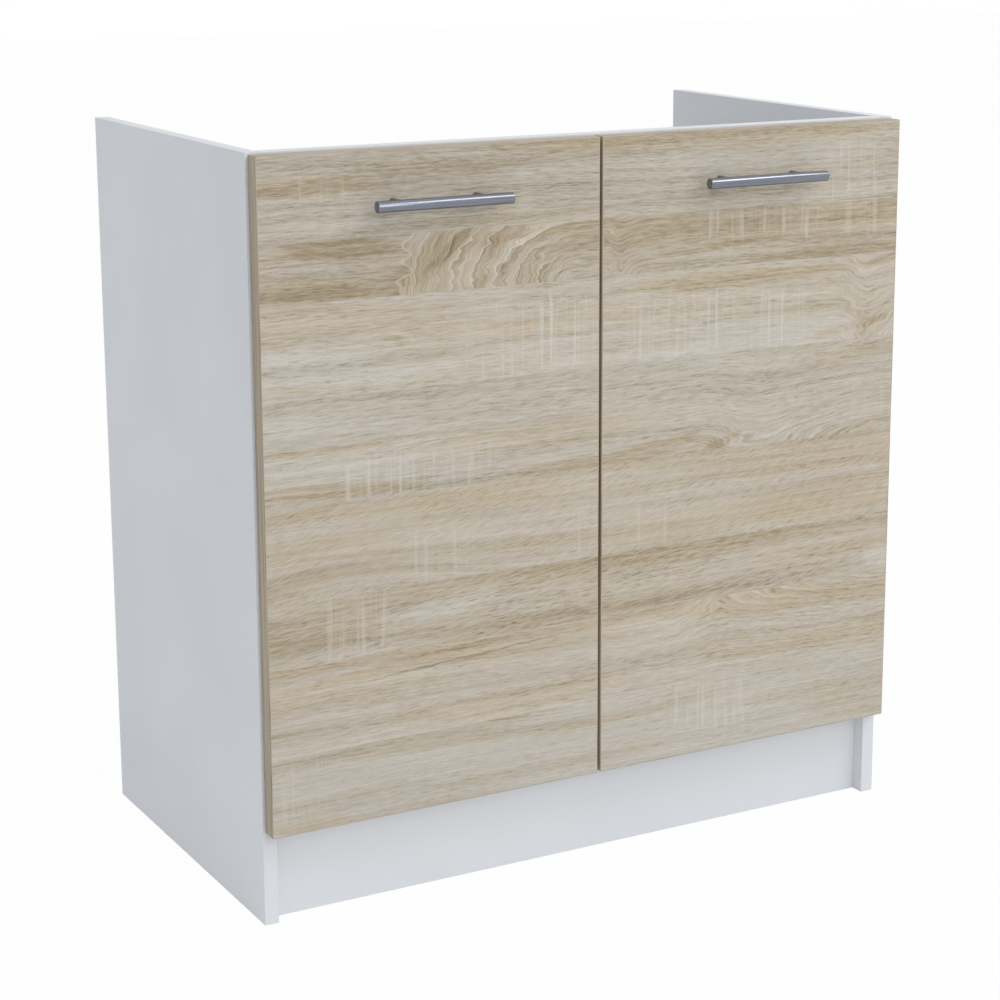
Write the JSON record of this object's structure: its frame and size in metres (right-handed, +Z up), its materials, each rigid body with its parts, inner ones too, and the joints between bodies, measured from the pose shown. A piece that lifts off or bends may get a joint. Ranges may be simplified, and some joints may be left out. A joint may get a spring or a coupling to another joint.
{
  "type": "kitchen base cabinet",
  "caption": "Free-standing kitchen sink base cabinet, open at the top, with hinged slab doors in light oak decor, horizontal bar handles and a recessed plinth.",
  "frame": {"origin": "on the floor, in the middle of the whole object's box, handles included", "axes": "+X to the right seen from the front, +Y to the back, +Z up"},
  "size_m": [0.8, 0.491, 0.82],
  "materials": {
    "white_board": "matt white melamine-faced board",
    "oak_decor": "light oak decor, matt with fine grain",
    "door_edge": "brown edge band, matt",
    "handle_steel": "brushed",
    "hinge_steel": "nickel plated",
    "screw_steel": "zinc plated",
    "cam_zinc": "die-cast zinc, satin",
    "dowel_beech": "beech, raw",
    "bracket_plastic": "white moulded",
    "bumper": "clear soft pad"
  },
  "bodies": {
    "carcass": {"left_side_panel": "white_board", "right_side_panel": "white_board", "bottom_panel": "white_board", "front_top_rail": "white_board", "rear_upper_rail": "white_board", "rear_lower_rail": "white_board", "plinth_board": "white_board", "cam_bolts": "screw_steel", "cam_locks": "cam_zinc", "wooden_dowels": "dowel_beech", "plinth_brackets": "bracket_plastic", "plinth_bracket_screws": "screw_steel", "hinge_plate_left_lower": "hinge_steel", "hinge_plate_left_upper": "hinge_steel", "hinge_plate_right_lower": "hinge_steel", "hinge_plate_right_upper": "hinge_steel", "hinge_arm_left_lower": "hinge_steel", "hinge_arm_left_upper": "hinge_steel", "hinge_arm_right_lower": "hinge_steel", "hinge_arm_right_upper": "hinge_steel", "hinge_plate_screws": "screw_steel", "hinge_arm_screws": "screw_steel", "hinge_arm_pins": "hinge_steel"},
    "left_door": {"left_door_panel": "oak_decor", "left_door_edge_bands": "door_edge", "left_door_bumpers": "bumper", "left_handle_bar": "handle_steel", "left_handle_posts": "handle_steel", "left_handle_screws": "screw_steel", "left_hinge_cup_lower": "hinge_steel", "left_hinge_cup_upper": "hinge_steel", "left_cup_screws": "screw_steel"},
    "left_outer_linkage": {"left_outer_links": "hinge_steel", "left_outer_link_studs": "hinge_steel"},
    "left_inner_linkage": {"left_inner_links": "hinge_steel", "left_inner_link_pins": "hinge_steel"},
    "right_door": {"right_door_panel": "oak_decor", "right_door_edge_bands": "door_edge", "right_door_bumpers": "bumper", "right_handle_bar": "handle_steel", "right_handle_posts": "handle_steel", "right_handle_screws": "screw_steel", "right_hinge_cup_lower": "hinge_steel", "right_hinge_cup_upper": "hinge_steel", "right_cup_screws": "screw_steel"},
    "right_outer_linkage": {"right_outer_links": "hinge_steel", "right_outer_link_studs": "hinge_steel"},
    "right_inner_linkage": {"right_inner_links": "hinge_steel", "right_inner_link_pins": "hinge_steel"}
  },
  "joints": [
    {"name": "left_door_swing", "type": "hinge", "parent": "carcass", "child": "left_door", "pos_m": [-0.39225, -0.2065, 0.461], "axis": [0, 0, -1], "range_deg": [0, 100]},
    {"name": "left_outer_link_turn", "type": "hinge", "parent": "carcass", "child": "left_outer_linkage", "pos_m": [-0.3632, -0.1986, 0.461], "axis": [0, 0, -1], "range_deg": [-34.5, 0]},
    {"name": "left_inner_link_turn", "type": "hinge", "parent": "carcass", "child": "left_inner_linkage", "pos_m": [-0.36748, -0.2036, 0.461], "axis": [0, 0, -1], "range_deg": [-24.5, 0]},
    {"name": "right_door_swing", "type": "hinge", "parent": "carcass", "child": "right_door", "pos_m": [0.39225, -0.2065, 0.461], "axis": [0, 0, 1], "range_deg": [0, 100]},
    {"name": "right_outer_link_turn", "type": "hinge", "parent": "carcass", "child": "right_outer_linkage", "pos_m": [0.3632, -0.1986, 0.461], "axis": [0, 0, 1], "range_deg": [-34.5, 0]},
    {"name": "right_inner_link_turn", "type": "hinge", "parent": "carcass", "child": "right_inner_linkage", "pos_m": [0.36748, -0.2036, 0.461], "axis": [0, 0, 1], "range_deg": [-24.5, 0]}
  ],
  "couplings": [
    {"joint": "left_outer_link_turn", "follows": "left_door_swing", "ratio": -0.34},
    {"joint": "left_inner_link_turn", "follows": "left_door_swing", "ratio": -0.24},
    {"joint": "right_outer_link_turn", "follows": "right_door_swing", "ratio": -0.34},
    {"joint": "right_inner_link_turn", "follows": "right_door_swing", "ratio": -0.24}
  ]
}
